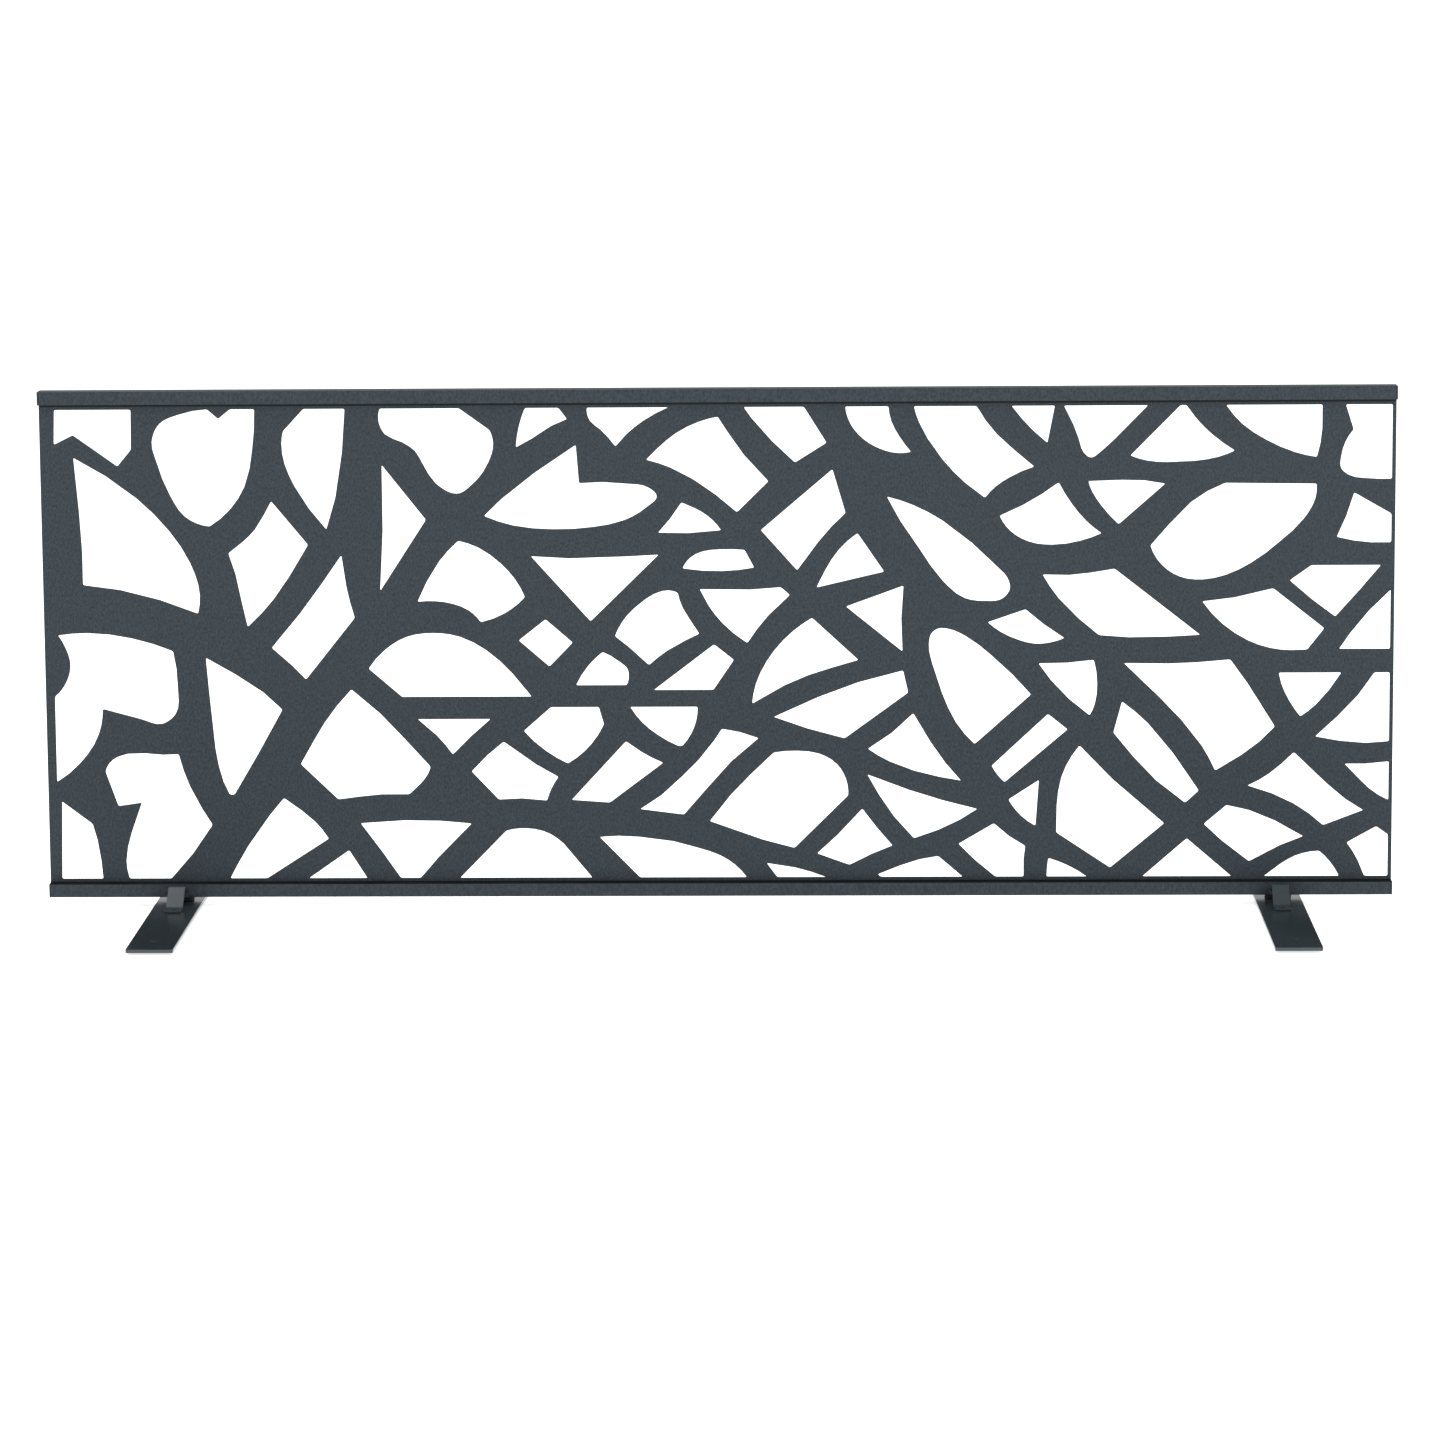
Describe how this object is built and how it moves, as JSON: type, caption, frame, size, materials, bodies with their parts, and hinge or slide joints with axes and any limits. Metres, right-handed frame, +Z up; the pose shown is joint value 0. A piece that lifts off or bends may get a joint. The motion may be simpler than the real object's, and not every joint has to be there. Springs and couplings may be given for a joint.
{
  "type": "fireplace screen",
  "caption": "Long low hearth screen: a flat sheet cut with a net of irregular windows, held by folded rails on two slide-on plate feet.",
  "frame": {"origin": "middle of the outer box, on the floor", "axes": "+X along the screen to the viewer's right, +Y from the room towards the fire, +Z up"},
  "size_m": [1.2, 0.29, 0.464],
  "materials": {
    "powder_coat": "fine textured matt powder coat, anthracite",
    "plate_coat": "smooth satin coat, near black",
    "clip_coat": "smooth satin coat, dark grey",
    "dark_steel": "blackened",
    "rubber": "matt black",
    "cap_plastic": "moulded, matt anthracite"
  },
  "bodies": {
    "panel": {"pattern_sheet": "powder_coat", "top_rail": "powder_coat", "top_rail_left_cap": "cap_plastic", "top_rail_right_cap": "cap_plastic", "top_rail_screw_1": "dark_steel", "top_rail_screw_2": "dark_steel", "top_rail_screw_3": "dark_steel", "top_rail_screw_4": "dark_steel", "top_rail_screw_5": "dark_steel", "bottom_rail": "powder_coat", "bottom_rail_left_cap": "cap_plastic", "bottom_rail_right_cap": "cap_plastic", "bottom_rail_screw_1": "dark_steel", "bottom_rail_screw_2": "dark_steel", "bottom_rail_screw_3": "dark_steel", "bottom_rail_screw_4": "dark_steel", "bottom_rail_screw_5": "dark_steel"},
    "left_foot": {"left_foot_plate": "plate_coat", "left_foot_seat": "rubber", "left_foot_front_clip": "clip_coat", "left_foot_front_clip_rivet": "dark_steel", "left_foot_front_pad": "rubber", "left_foot_front_pad_rivet": "dark_steel", "left_foot_rear_clip": "clip_coat", "left_foot_rear_clip_rivet": "dark_steel", "left_foot_rear_pad": "rubber", "left_foot_rear_pad_rivet": "dark_steel"},
    "right_foot": {"right_foot_plate": "plate_coat", "right_foot_seat": "rubber", "right_foot_front_clip": "clip_coat", "right_foot_front_clip_rivet": "dark_steel", "right_foot_front_pad": "rubber", "right_foot_front_pad_rivet": "dark_steel", "right_foot_rear_clip": "clip_coat", "right_foot_rear_clip_rivet": "dark_steel", "right_foot_rear_pad": "rubber", "right_foot_rear_pad_rivet": "dark_steel"}
  },
  "joints": [
    {"name": "left_foot_slide", "type": "slide", "parent": "panel", "child": "left_foot", "axis": [1, 0, 0], "range_m": [-0.0965, 0.458]},
    {"name": "right_foot_slide", "type": "slide", "parent": "panel", "child": "right_foot", "axis": [1, 0, 0], "range_m": [-0.474, 0.0805]}
  ]
}
